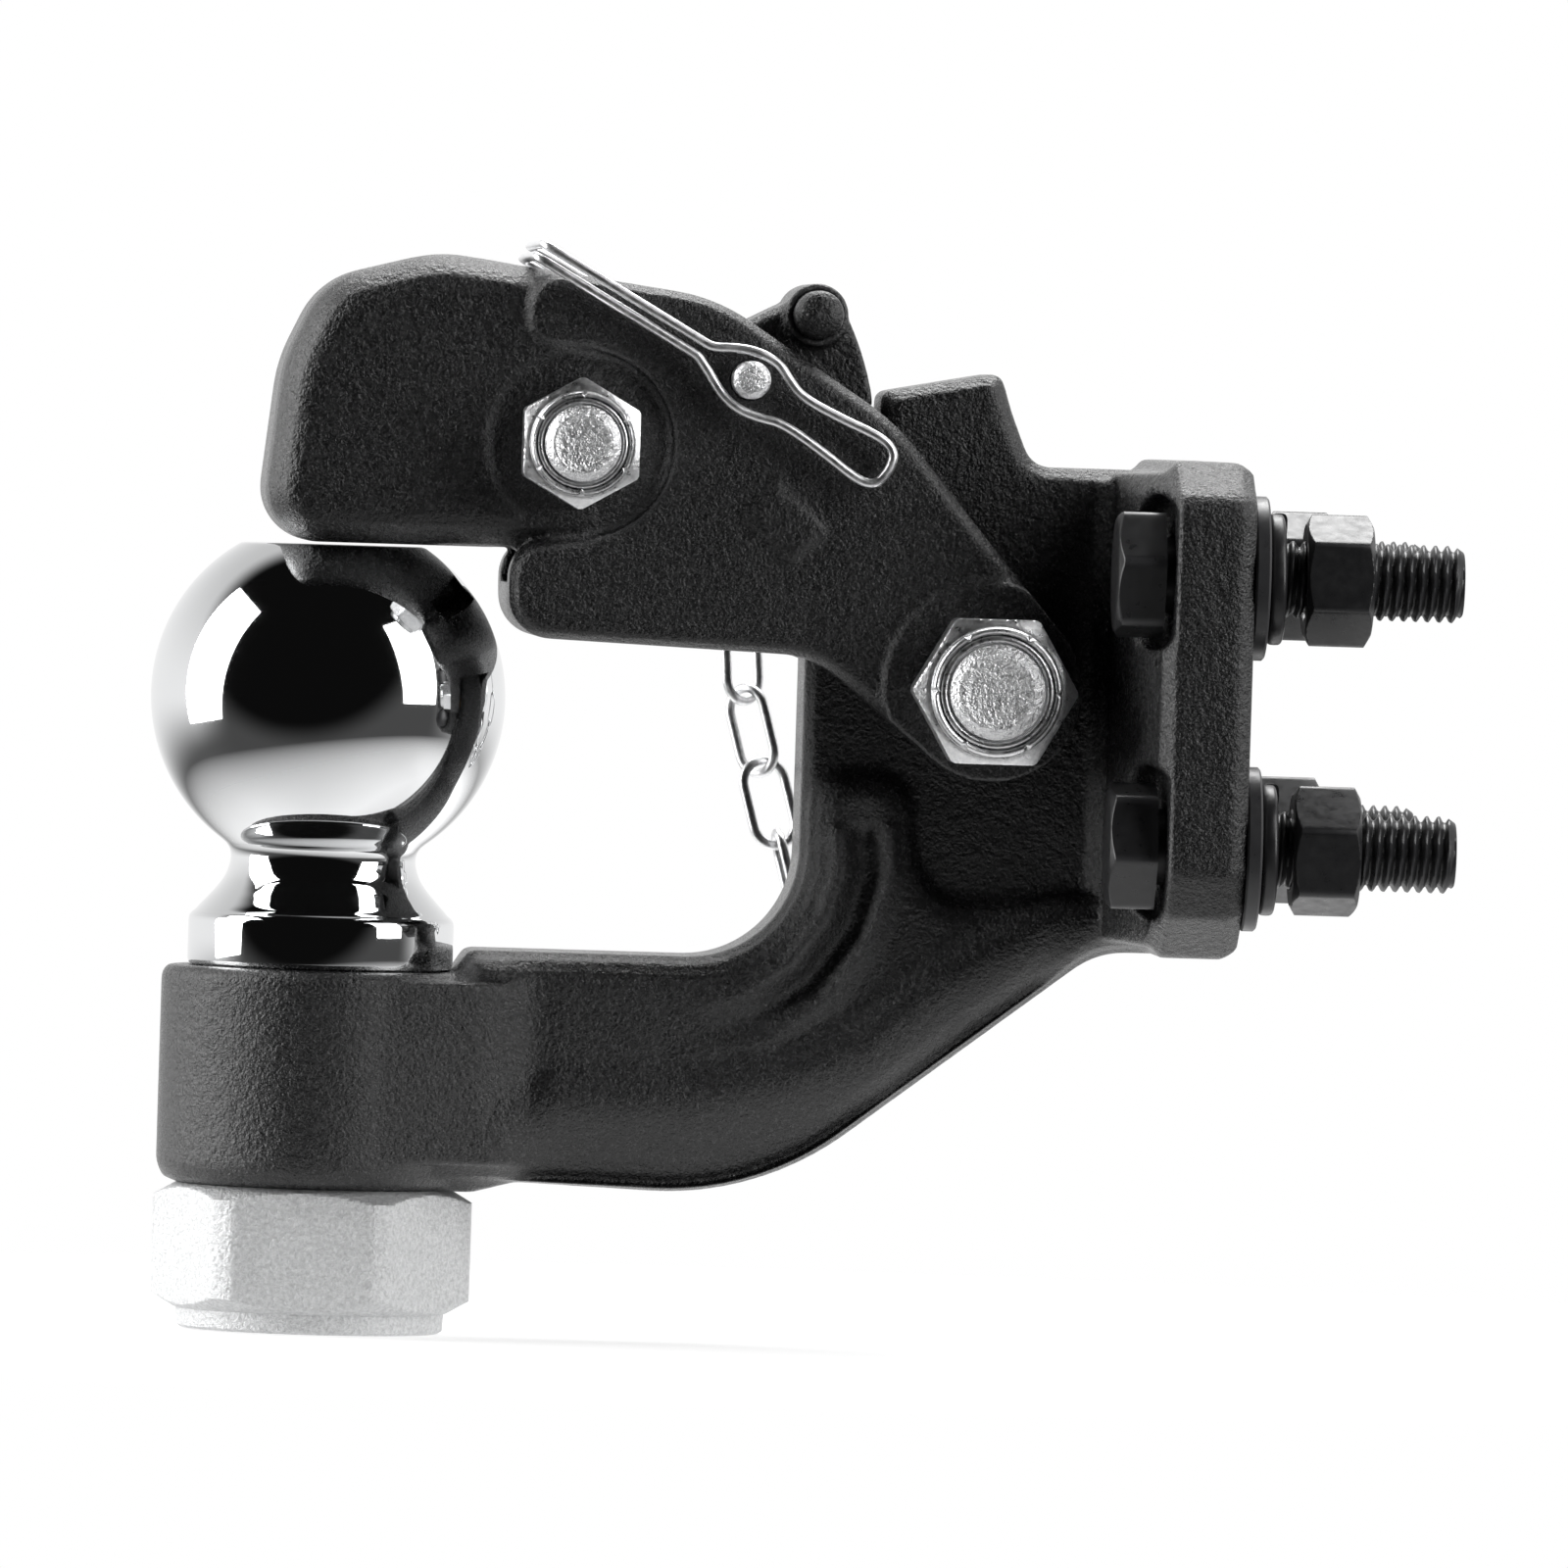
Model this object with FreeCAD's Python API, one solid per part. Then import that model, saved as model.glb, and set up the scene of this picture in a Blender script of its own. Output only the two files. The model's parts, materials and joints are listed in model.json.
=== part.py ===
import FreeCAD, Part
import math
import os

# Combination pintle hook and hitch ball for a truck's rear plate.
# Everything is drawn in mm from the centre of the hitch ball: X runs back to the mounting flange, Y across
# the hook and Z up. On export each piece moves so that the origin is the centre of the four-bolt pattern
# on the flange's rear face.

# ---- driving dimensions ----
BALL_R = 29.37                 # 2-5/16 inch ball
BALL_TOP = 25.2                # height of the flat on top of the ball
NECK_R = 15.3
COLLAR_R = 22.0
BOSS_TOP = -45.0
BOSS_BOTTOM = -81.1
BOSS_R = 26.2
SHANK_R = 15.875               # 1-1/4 inch ball shank
BALL_NUT_AF = 47.6
BALL_NUT_H = 20.6
WEB_HALF = 14.5                # half width of the hook between the jaw's ears
ARM_HALF = 19.0                # half width of the thick lower arm
THROAT_X = 78.3                # front face of the hook inside the throat
ARM_TOP = -41.0
FACE_X = 149.4                 # rear face of the flange
BOLT_Z = 2.4                   # height of the bolt pattern's centre
BOLT_PITCH_Y = 85.7            # 3-3/8 inch
BOLT_PITCH_Z = 44.45           # 1-3/4 inch
FLANGE_T = 15.0
SEAT_X = 136.4                 # floor of the pockets for the bolt heads
POCKET_HALF = 12.7             # half the height of a pocket
POCKET_LIFT = 0.5              # a pocket's middle stands this much above its bolt
HEAD_X = 135.0                 # underside of the bolt heads; the loose bolts stand off their seats
BOLT_R = 6.35                  # 1/2 inch mounting bolts
BOLT_END = 35.0                # how far the bolts stand behind the face
PIVOT = (108.5, 4.6)           # jaw pivot
PIVOT_R = 7.94                 # 5/8 inch
PAWL = (39.4, 43.3)            # lock pawl pivot
PAWL_BOLT_R = 6.35
PIN = (67.1, 54.6)             # safety pin
PIN_R = 3.175
BAR = (78.4, 65.7)             # cross bar that lifts the pawl
BAR_R = 4.0
BAR_HALF = 25.0
EAR_IN = 15.0                  # inner faces of the ears
EAR_OUT = 27.0
NOSE_HALF = 25.5
RECESS_R = 15.5                # shallow round seat for the pawl's nut
RECESS = 0.7
PAWL_HALF = 14.0
TAIL_R = 49.4                  # pawl tail, measured from its pivot
CLIP_R = 0.8                   # wire of the pin's bail
CLIP_Y = 30.0
CHAIN_R = 0.8                  # wire of the chain
LINK_HALF_W = 3.9              # from the link's middle to the middle of its wire
CHAIN_GAP = 0.25               # from a chain joint to the wire on each side of it
RING_R = 7.0                   # ring on the pin, to the middle of its wire
ANCHOR_RING_R = 6.5
CHAIN_Y = 32.6
ANCHOR = (106.5, -19.5)
ANCHOR_Y = 24.0

V = FreeCAD.Vector


def cyl(r, a, b, at=(0.0, 0.0), axis="y"):
    """Cylinder of radius r between a and b along an axis, at a place across it."""
    if axis == "x":
        return Part.makeCylinder(r, b - a, V(a, at[0], at[1]), V(1, 0, 0))
    if axis == "z":
        return Part.makeCylinder(r, b - a, V(at[0], at[1], a), V(0, 0, 1))
    return Part.makeCylinder(r, b - a, V(at[0], a, at[1]), V(0, 1, 0))


def box(x0, x1, y0, y1, z0, z1):
    return Part.makeBox(x1 - x0, y1 - y0, z1 - z0, V(x0, y0, z0))


def inset(corners, d):
    """The same outline, moved inward by d. Corners run anticlockwise as (x, z, radius)."""
    out = []
    n = len(corners)
    for i in range(n):
        p = corners[i - 1]
        c = corners[i]
        q = corners[(i + 1) % n]
        a = math.atan2(c[1] - p[1], c[0] - p[0])
        b = math.atan2(q[1] - c[1], q[0] - c[0])
        turn = math.atan2(math.sin(b - a), math.cos(b - a))
        way = a + turn / 2 + math.pi / 2
        reach = d / math.cos(turn / 2)
        r = c[2]
        if r > 0:
            r = max(r - d, 0.25) if turn > 0 else r + d
        out.append((c[0] + reach * math.cos(way), c[1] + reach * math.sin(way), r))
    return out


def outline(corners, place):
    """Closed wire through the corners, each rounded to its own radius. place turns (u, v) into a point."""
    n = len(corners)
    runs = []
    for i in range(n):
        p = corners[i - 1]
        c = corners[i]
        q = corners[(i + 1) % n]
        a = math.atan2(c[1] - p[1], c[0] - p[0])
        b = math.atan2(q[1] - c[1], q[0] - c[0])
        turn = math.atan2(math.sin(b - a), math.cos(b - a))
        if c[2] <= 0 or abs(turn) < 1e-4:
            runs.append([(c[0], c[1])])
            continue
        t = c[2] * math.tan(abs(turn) / 2)
        start = (c[0] - t * math.cos(a), c[1] - t * math.sin(a))
        end = (c[0] + t * math.cos(b), c[1] + t * math.sin(b))
        side = a + math.copysign(math.pi / 2, turn)
        centre = (start[0] + c[2] * math.cos(side), start[1] + c[2] * math.sin(side))
        mid_way = side + math.pi + turn / 2
        mid = (centre[0] + c[2] * math.cos(mid_way), centre[1] + c[2] * math.sin(mid_way))
        runs.append([start, mid, end])
    edges = []
    for i in range(n):
        run = runs[i]
        if len(run) == 3:
            edges.append(Part.Arc(place(*run[0]), place(*run[1]), place(*run[2])).toShape())
        a = place(*run[-1])
        b = place(*runs[(i + 1) % n][0])
        edges.append(Part.makeLine(a, b))
    return Part.Wire(edges)


def side_at(y):
    return lambda x, z: V(x, y, z)


def end_at(x):
    return lambda y, z: V(x, y, z)


def plate(corners, y0, y1):
    """Flat plate in the side plane, between y0 and y1."""
    return Part.Face(outline(corners, side_at(y0))).extrude(V(0, y1 - y0, 0))


def drafted(corners, straight, half, draft, steps=1):
    """Forged plate, symmetric about the middle plane: straight sides, then closing in by draft.
    One step is a plain slope; more steps follow a quarter ellipse."""
    solid = plate(corners, -straight, straight)
    for s in (-1, 1):
        sections = [outline(corners, side_at(s * straight))]
        for i in range(1, steps + 1):
            w = math.pi / 2 * i / steps
            y = straight + (half - straight) * math.sin(w)
            sections.append(outline(inset(corners, draft * (1 - math.cos(w))), side_at(s * y)))
        solid = solid.fuse(Part.makeLoft(sections, True, True))
    return solid


def hexagon(across, a, b, at, axis, turn):
    """Hexagonal bar between a and b with its end corners turned down to a cone."""
    pts = []
    r = across / math.sqrt(3)
    for i in range(7):
        w = math.radians(turn + 60 * i)
        u = at[0] + r * math.cos(w)
        v = at[1] + r * math.sin(w)
        pts.append({"x": V(a, u, v), "y": V(u, a, v), "z": V(u, v, a)}[axis])
    way = {"x": V(1, 0, 0), "y": V(0, 1, 0), "z": V(0, 0, 1)}[axis]
    bar = Part.Face(Part.makePolygon(pts)).extrude(way * (b - a))
    origin = {"x": V(a, at[0], at[1]), "y": V(at[0], a, at[1]), "z": V(at[0], at[1], a)}[axis]
    low = Part.makeCone(across / 2 - 0.2, across / 2 - 0.2 + 2 * (b - a), b - a, origin, way)
    high = Part.makeCone(across / 2 - 0.2 + 2 * (b - a), across / 2 - 0.2, b - a, origin, way)
    return bar.common(low).common(high)


def turned(profile):
    """Solid of revolution from (r, z) points about the ball's axis."""
    pts = [V(r, 0, z) for r, z in profile]
    face = Part.Face(Part.makePolygon(pts + [pts[0]]))
    return face.revolve(V(0, 0, 0), V(0, 0, 1), 360)


def rod(points, r):
    """Round wire through points, with a ball at every bend."""
    solids = []
    for a, b in zip(points, points[1:]):
        solids.append(Part.makeCylinder(r, (b - a).Length, a, b - a))
    for p in points[1:-1]:
        solids.append(Part.makeSphere(r, p))
    return solids[0].fuse(solids[1:])


# ---- hook ----
HOOK_SIDE = [
    (0, BOSS_BOTTOM, 0), (26.0, BOSS_BOTTOM, 3), (33.0, -79.2, 5), (73.3, -80.6, 50),
    (128.3, -38.3, 14), (141.0, -38.2, 0), (141.0, 41.7, 0), (114.9, 41.7, 4.5),
    (111.4, 50.5, 2), (109.3, 57.2, 2.2), (89.6, 53.4, 1.8), (89.6, 36.0, 2),
    (THROAT_X, 25.0, 6), (THROAT_X, ARM_TOP, 18), (24.2, ARM_TOP, 1.2), (21.6, BOSS_TOP, 1), (0, BOSS_TOP, 0),
]
ARM_SIDE = [
    (0, -80.4, 0), (31.0, -78.9, 5), (72.8, -79.9, 48), (127.9, -37.6, 12),
    (141.0, -37.4, 0), (141.0, -26.5, 0), (99.5, -30.5, 8), (96.5, -9.0, 7),
    (79.4, -9.0, 6), (79.4, -42.0, 19), (24.8, -42.0, 1.5), (22.4, -45.6, 1.2), (0, -45.6, 0),
]
FLANGE_END = [
    (-57.0, -24.0, 3), (-52.5, -31.2, 3), (-40.0, -38.2, 4), (40.0, -38.2, 4), (52.5, -31.2, 3),
    (57.0, -24.0, 3), (57.0, 37.6, 4), (44.0, 43.5, 8), (-44.0, 43.5, 8), (-57.0, 37.6, 4),
]
ROOT_FOOT = [
    (-53.6, -22.0, 4), (-38.0, -36.6, 4), (38.0, -36.6, 4), (53.6, -22.0, 4),
    (53.6, 35.6, 4), (42.0, 41.6, 4), (-42.0, 41.6, 4), (-53.6, 35.6, 4),
]
ROOT_NOSE = [
    (-24.0, -30.0, 3), (-20.0, -36.0, 3), (20.0, -36.0, 3), (24.0, -30.0, 3),
    (24.0, 37.0, 3), (20.0, 41.2, 3), (-20.0, 41.2, 3), (-24.0, 37.0, 3),
]
NOSE_X = 128.6                 # front of the root


def bolt_places():
    return [(sy * BOLT_PITCH_Y / 2, BOLT_Z + sz * BOLT_PITCH_Z / 2) for sy in (-1, 1) for sz in (-1, 1)]


def head_pocket(y, z):
    """Recess for a bolt head: round on its inner side, and open through the flange's side."""
    low = z + POCKET_LIFT - POCKET_HALF
    high = z + POCKET_LIFT + POCKET_HALF
    y0, y1 = sorted((y, math.copysign(60.0, y)))
    slot = plate([(120.0, low, 0), (SEAT_X, low, 3), (SEAT_X, high, 3), (120.0, high, 0)], y0, y1)
    return slot.fuse(cyl(POCKET_HALF, 120.0, SEAT_X, (y, z + POCKET_LIFT), "x"))


def flange():
    """Four-bolt flange whose front rises to a root in the middle, with a pocket for each bolt head."""
    front = FACE_X - FLANGE_T
    edge = 2.4
    solid = Part.Face(outline(FLANGE_END, end_at(front + edge))).extrude(V(FLANGE_T - 2 * edge, 0, 0))
    for x, foot, draw in ((front, front + edge, 3.0), (FACE_X, FACE_X - edge, 1.6)):
        rim = outline(inset(FLANGE_END, draw), end_at(x))
        solid = solid.fuse(Part.makeLoft([outline(FLANGE_END, end_at(foot)), rim], True, True))
    foot = outline(ROOT_FOOT, end_at(front + 0.2))
    nose = outline(ROOT_NOSE, end_at(NOSE_X))
    solid = solid.fuse(Part.makeLoft([foot, nose], True, True))
    for s in (-1, 1):
        corner = [V(125.6, s * WEB_HALF, -36), V(129.6, s * WEB_HALF, -36), V(129.6, s * 18.8, -36)]
        wedge = Part.Face(Part.makePolygon(corner + [corner[0]])).extrude(V(0, 0, 76.0))
        solid = solid.fuse(wedge)
    for y, z in bolt_places():
        solid = solid.cut(head_pocket(y, z))
        solid = solid.cut(cyl(BOLT_R + 0.4, 120.0, FACE_X + 1, (y, z), "x"))
    return solid


def boss_blend():
    """Taper that carries the round boss into the arm's sides."""
    near = [V(8.0, -24.6, 0), V(27.0, -20.6, 0), V(42.0, -17.4, 0)]
    plan = near + [V(p.x, -p.y, 0) for p in reversed(near)]
    blend = Part.Face(Part.makePolygon(plan + [plan[0]])).extrude(V(0, 0, 30.3))
    blend.translate(V(0, 0, -76.5))
    return blend


def hook_body():
    solid = drafted(HOOK_SIDE, 11.5, WEB_HALF, 2.2)
    solid = solid.fuse(drafted(ARM_SIDE, WEB_HALF - 0.6, ARM_HALF, 4.6, 3))
    solid = solid.fuse(boss_blend())
    boss = turned([(0, BOSS_BOTTOM), (BOSS_R - 3.5, BOSS_BOTTOM), (BOSS_R - 1.0, BOSS_BOTTOM + 1.0),
                   (BOSS_R, BOSS_BOTTOM + 3.5), (BOSS_R, BOSS_TOP - 1.2), (BOSS_R - 1.2, BOSS_TOP),
                   (0, BOSS_TOP)])
    solid = solid.fuse(boss).fuse(flange())
    solid = solid.cut(cyl(SHANK_R + 0.2, BOSS_BOTTOM - 1, BOSS_TOP + 1, (0, 0), "z"))
    solid = solid.cut(cyl(10.6, -20, 20, PIVOT))
    solid = solid.cut(cyl(3.4, 0, 20, ANCHOR))
    return solid


def hitch_ball():
    """Ball, waisted neck, collar and the shank through the arm."""
    z0 = -math.sqrt(BALL_R ** 2 - 17.2 ** 2)
    top_r = math.sqrt(BALL_R ** 2 - BALL_TOP ** 2)
    p = [V(0, 0, BALL_TOP), V(top_r, 0, BALL_TOP), V(BALL_R, 0, 0), V(17.2, 0, z0)]
    q = [V(17.2, 0, z0), V(15.6, 0, -25.3), V(NECK_R, 0, -27.0)]
    r = [V(NECK_R, 0, -27.0), V(17.0, 0, -31.3), V(20.6, 0, -35.6)]
    edges = [Part.makeLine(p[0], p[1]), Part.Arc(p[1], p[2], p[3]).toShape(),
             Part.Arc(q[0], q[1], q[2]).toShape(), Part.Arc(r[0], r[1], r[2]).toShape()]
    low = [r[2], V(COLLAR_R, 0, -36.8), V(COLLAR_R, 0, BOSS_TOP), V(SHANK_R, 0, BOSS_TOP),
           V(SHANK_R, 0, -103.0), V(SHANK_R - 1.5, 0, -104.5), V(0, 0, -104.5), p[0]]
    for a, b in zip(low, low[1:]):
        edges.append(Part.makeLine(a, b))
    return Part.Face(Part.Wire(edges)).revolve(V(0, 0, 0), V(0, 0, 1), 360)


def ball_nut():
    """Lock nut under the arm, with a round collar that holds a nylon ring."""
    top = BOSS_BOTTOM
    low = top - BALL_NUT_H
    solid = hexagon(BALL_NUT_AF, low, top, (0, 0), "z", 54.0)
    solid = solid.fuse(cyl(22.3, low - 3.4, low + 1, (0, 0), "z"))
    solid = solid.cut(cyl(SHANK_R + 0.05, low - 5, top + 1, (0, 0), "z"))
    return solid.cut(cyl(19.0, low - 2.4, low + 1.6, (0, 0), "z"))


def ball_nut_insert():
    low = BOSS_BOTTOM - BALL_NUT_H
    ring = cyl(18.95, low - 2.35, low + 1.55, (0, 0), "z")
    return ring.cut(cyl(SHANK_R + 0.05, low - 5, low + 5, (0, 0), "z"))


def pivot_bush():
    return cyl(10.57, -WEB_HALF, WEB_HALF, PIVOT).cut(cyl(PIVOT_R + 0.08, -20, 20, PIVOT))


# ---- jaw ----
NOSE_SIDE = [
    (-13.0, 25.7, 9), (46.0, 25.7, 0), (46.0, 70.2, 0), (15.5, 74.2, 22), (-3.4, 69.2, 14), (-9.8, 55.5, 25),
]
EAR_SIDE = [
    (28.6, 11.2, 7), (79.3, 9.4, 16), (98.6, -6.6, 0), (120.2, 13.9, 0), (91.7, 48.2, 40),
    (61.2, 68.0, 30), (29.5, 72.2, 6), (29.5, 59.2, 5), (43.0, 58.0, 3), (43.0, 28.6, 3), (28.4, 26.4, 6),
]
PAD_CORNERS = [(67.0, 32.5), (75.0, 25.0), (80.0, 30.0), (72.0, 37.5)]


def ears():
    """The two ears as one thick plate, before the slot is cut; a round boss carries the pivot."""
    solid = drafted(EAR_SIDE, 24.5, EAR_OUT, 1.3)
    face = EAR_OUT + 1.0
    boss = cyl(17.8, -face, face, PIVOT).common(plate(EAR_SIDE, -face, face))
    return solid.fuse(boss).fuse(cyl(15.0, -face, face, PIVOT))


def grade_pad():
    """Small plain raised pad on the near ear."""
    pts = [V(x, -EAR_OUT - 0.6, z) for x, z in PAD_CORNERS]
    return Part.Face(Part.makePolygon(pts + [pts[0]])).extrude(V(0, 1.2, 0))


def jaw():
    solid = drafted(NOSE_SIDE, 15.5, NOSE_HALF, 5.5, 4).fuse(ears()).fuse(grade_pad())
    for s in (-1, 1):
        y0, y1 = sorted((s * (NOSE_HALF - RECESS), s * (EAR_OUT + 1)))
        solid = solid.cut(cyl(RECESS_R, y0, y1, PAWL))
    solid = solid.cut(box(26.0, 140, -EAR_IN, EAR_IN, 20.0, 90))
    solid = solid.cut(box(58.0, 140, -EAR_IN, EAR_IN, -30, 90))
    solid = solid.cut(cyl(PIVOT_R + 0.05, -40, 40, PIVOT))
    solid = solid.cut(cyl(PAWL_BOLT_R + 0.05, -40, 40, PAWL))
    return solid.cut(cyl(PIN_R + 0.08, -40, 40, PIN))


def pivot_bolt():
    """Jaw pivot bolt: head on the far side, rounded end through the nut."""
    shank = cyl(PIVOT_R, -43.0, EAR_OUT + 1.0, PIVOT).fuse(
        Part.makeCone(PIVOT_R - 1.2, PIVOT_R, 1.2, V(PIVOT[0], -44.2, PIVOT[1]), V(0, 1, 0)))
    return shank.fuse(hexagon(23.8, EAR_OUT + 1.0, EAR_OUT + 11.0, PIVOT, "y", 0))


def lock_nut(across, bore, at, face, high, turn):
    """Nylon lock nut on the near side: hexagon, then a round collar turned in at its end."""
    tip = face - high
    body = hexagon(across, tip + 0.28 * high, face, at, "y", turn)
    collar = Part.makeCone(across * 0.445, across * 0.48, 0.3 * high, V(at[0], tip, at[1]), V(0, 1, 0))
    solid = body.fuse(collar)
    solid = solid.cut(cyl(bore + 0.05, tip - 1, face + 1, at))
    return solid.cut(cyl(across * 0.36, tip - 1, tip + 0.24 * high, at))


def nut_insert(across, bore, at, face, high):
    tip = face - high
    ring = cyl(across * 0.36 - 0.05, tip + 0.8, tip + 0.24 * high - 0.05, at)
    return ring.cut(cyl(bore + 0.05, tip - 1, face, at))


def pawl_bolt():
    seat = NOSE_HALF - RECESS
    shank = cyl(PAWL_BOLT_R, -38.0, seat, PAWL)
    tip = Part.makeCone(PAWL_BOLT_R - 1.0, PAWL_BOLT_R, 1.0, V(PAWL[0], -39.0, PAWL[1]), V(0, 1, 0))
    return shank.fuse(tip).fuse(hexagon(19.05, seat, seat + 8.0, PAWL, "y", 30))


# ---- lock pawl ----
PAWL_SIDE = [
    (39.0, 31.6, 0), (77.4, 37.0, 3), (96.0, 61.2, 0), (96.0, 65.0, 0), (83.6, 66.8, 3),
    (73.6, 67.8, 5), (65.5, 63.6, 12), (36.0, 54.6, 0), (33.0, 43.0, 0),
]


def pin_slot():
    """Arc slot about the pawl's pivot, open below, for the safety pin while the pawl lifts."""
    dx = PIN[0] - PAWL[0]
    dz = PIN[1] - PAWL[1]
    reach = math.hypot(dx, dz)
    rest = math.degrees(math.atan2(dz, dx))
    half = PIN_R + 0.4
    ring = cyl(reach + half, -20, 20, PAWL).cut(cyl(reach - half, -21, 21, PAWL))
    wedge_pts = [V(PAWL[0], -20, PAWL[1])]
    for step in range(5):
        w = math.radians(rest - 18 * step)
        wedge_pts.append(V(PAWL[0] + 60 * math.cos(w), -20, PAWL[1] + 60 * math.sin(w)))
    wedge = Part.Face(Part.makePolygon(wedge_pts + [wedge_pts[0]])).extrude(V(0, 40, 0))
    return ring.common(wedge).fuse(cyl(half, -20, 20, PIN))


def lock_pawl():
    solid = drafted(PAWL_SIDE, PAWL_HALF - 2.0, PAWL_HALF, 1.0).common(cyl(TAIL_R, -20, 20, PAWL))
    solid = solid.fuse(cyl(11.6, -PAWL_HALF, PAWL_HALF, PAWL))
    solid = solid.fuse(cyl(5.2, -PAWL_HALF - 1.5, PAWL_HALF + 1.5, BAR))
    solid = solid.cut(cyl(PAWL_BOLT_R + 0.08, -20, 20, PAWL))
    solid = solid.cut(cyl(10.0, 7.6, 20, PAWL))
    solid = solid.cut(cyl(BAR_R + 0.02, -20, 20, BAR))
    return solid.cut(pin_slot())


def lift_bar():
    bar = cyl(BAR_R, -BAR_HALF + 1, BAR_HALF - 1, BAR)
    for s in (-1, 1):
        foot = V(BAR[0], s * (BAR_HALF - 1), BAR[1])
        bar = bar.fuse(Part.makeCone(BAR_R, BAR_R - 1.0, 1.0, foot, V(0, s, 0)))
    return bar


def pawl_spring():
    """Torsion spring in the pawl hub, round its bolt, as short straight runs along a helix."""
    coil_r = 8.2
    turns = 2.5
    pitch = 2.0
    per_turn = 12
    path = []
    for i in range(int(turns * per_turn) + 1):
        w = 2 * math.pi * i / per_turn
        y = 8.7 + pitch * i / per_turn
        path.append(V(PAWL[0] + coil_r * math.cos(w), y, PAWL[1] + coil_r * math.sin(w)))
    return rod(path, 0.8)


# ---- safety pin, bail and chain ----
def safety_pin():
    """Pin through both ears, with a flat head on the far side."""
    pin = cyl(PIN_R, -32.0, 35.2, PIN)
    tip = Part.makeCone(PIN_R - 0.8, PIN_R, 0.8, V(PIN[0], -32.8, PIN[1]), V(0, 1, 0))
    return pin.fuse(tip).fuse(cyl(5.6, 34.0, 35.6, PIN))


BAIL_TOP = (32.2, 74.6)        # where the wire bends over the jaw
BAIL_REACH = math.hypot(PIN[0] - BAIL_TOP[0], PIN[1] - BAIL_TOP[1])
# The two strands on the near side: distance past the pin and distance off the bail's line.
BAIL_UPPER = [(26.0, 0.9), (24.4, 2.6), (7.7, 1.9), (2.6, 4.5), (-1.2, 4.45), (-8.0, 1.2)]
BAIL_LOWER = [(26.0, -2.6), (24.4, -4.3), (7.7, -3.3), (0.7, -5.2), (-3.6, -3.9), (-9.4, -1.2)]
BAIL_HALF = 1.2                # half the spacing of the strands where they run side by side


def clip_point(s, v, y):
    """A point on the bail: s along it from its top bend, v across it."""
    u = ((PIN[0] - BAIL_TOP[0]) / BAIL_REACH, (PIN[1] - BAIL_TOP[1]) / BAIL_REACH)
    return V(BAIL_TOP[0] + s * u[0] - v * u[1], y, BAIL_TOP[1] + s * u[1] + v * u[0])


def bail_strand(near, side):
    """One strand: past the pin on the near side, over the jaw, and round the pin on the far side."""
    grip = PIN_R + CLIP_R + 0.25
    off = side * BAIL_HALF
    path = [clip_point(BAIL_REACH + s, v, -CLIP_Y) for s, v in near]
    bend = [(3.0, 0.0), (0.4, 0.8), (-0.6, 3.0)]
    path += [clip_point(s, off, depth - CLIP_Y) for s, depth in bend]
    path += [clip_point(s, off, CLIP_Y - depth) for s, depth in reversed(bend)]
    for s, v in ((-7.0, BAIL_HALF), (-2.6, grip), (1.6, grip), (4.6, 1.6)):
        path.append(clip_point(BAIL_REACH + s, side * v, CLIP_Y))
    return path


def wire_bail():
    """One wire folded double: an eye round the pin on the far side, a bend over the jaw, and a snap loop
    at the near end."""
    upper = bail_strand(BAIL_UPPER, 1)
    lower = bail_strand(BAIL_LOWER, -1)
    solid = rod(upper, CLIP_R).fuse(rod(lower, CLIP_R))
    for a, b in ((upper[0], lower[0]), (upper[-1], lower[-1])):
        solid = solid.fuse([rod([a, b], CLIP_R), Part.makeSphere(CLIP_R, a), Part.makeSphere(CLIP_R, b)])
    return solid


def link(a, b, lean):
    """One oval chain link between two joints, leaning by an angle about the chain's own line."""
    along = (b - a).normalize()
    flat = along.cross(V(0, 1, 0)).normalize()
    up = along.cross(flat)
    w = math.radians(lean)
    across = flat * math.cos(w) + up * math.sin(w)
    normal = along.cross(across)
    mid = (a + b) * 0.5
    straight = (b - a).Length / 2 + CHAIN_R + CHAIN_GAP - LINK_HALF_W
    solids = []
    for s in (-1, 1):
        foot = mid + across * (s * LINK_HALF_W) - along * straight
        solids.append(Part.makeCylinder(CHAIN_R, 2 * straight, foot, along))
        bend = Part.makeTorus(LINK_HALF_W, CHAIN_R, V(0, 0, 0), V(0, 0, 1))
        bend = bend.common(box(0, 10, -10, 10, -5, 5))
        d = along * s
        side = across * s
        at = mid + d * straight
        turn = FreeCAD.Matrix(d.x, side.x, normal.x, at.x, d.y, side.y, normal.y, at.y,
                              d.z, side.z, normal.z, at.z, 0, 0, 0, 1)
        bend.Placement = FreeCAD.Placement(turn)
        solids.append(bend)
    return solids[0].fuse(solids[1:])


def link_run(a, b, leans):
    """A straight run of links from a to b, each with its own lean."""
    step = (b - a) * (1.0 / len(leans))
    return Part.makeCompound([link(a + step * i, a + step * (i + 1), lean) for i, lean in enumerate(leans)])


def ring(centre, r):
    return Part.makeTorus(r, CHAIN_R, centre, V(0, 1, 0))


# The chain hangs from the pin, bends at two joints and ends on the anchor screw.
CHAIN_TOP = V(PIN[0], CHAIN_Y, PIN[1])
CHAIN_BEND = V(70.5, 31.6, 2.0)
CHAIN_LOW = V(80.1, 27.6, -33.9)
CHAIN_END = V(ANCHOR[0], ANCHOR_Y, ANCHOR[1])
RING_DROP = RING_R - CHAIN_R - PIN_R - 0.33


def chain_ring():
    way = (CHAIN_BEND - CHAIN_TOP).normalize()
    return ring(CHAIN_TOP + V(way.x, 0, way.z) * RING_DROP, RING_R)


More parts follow.
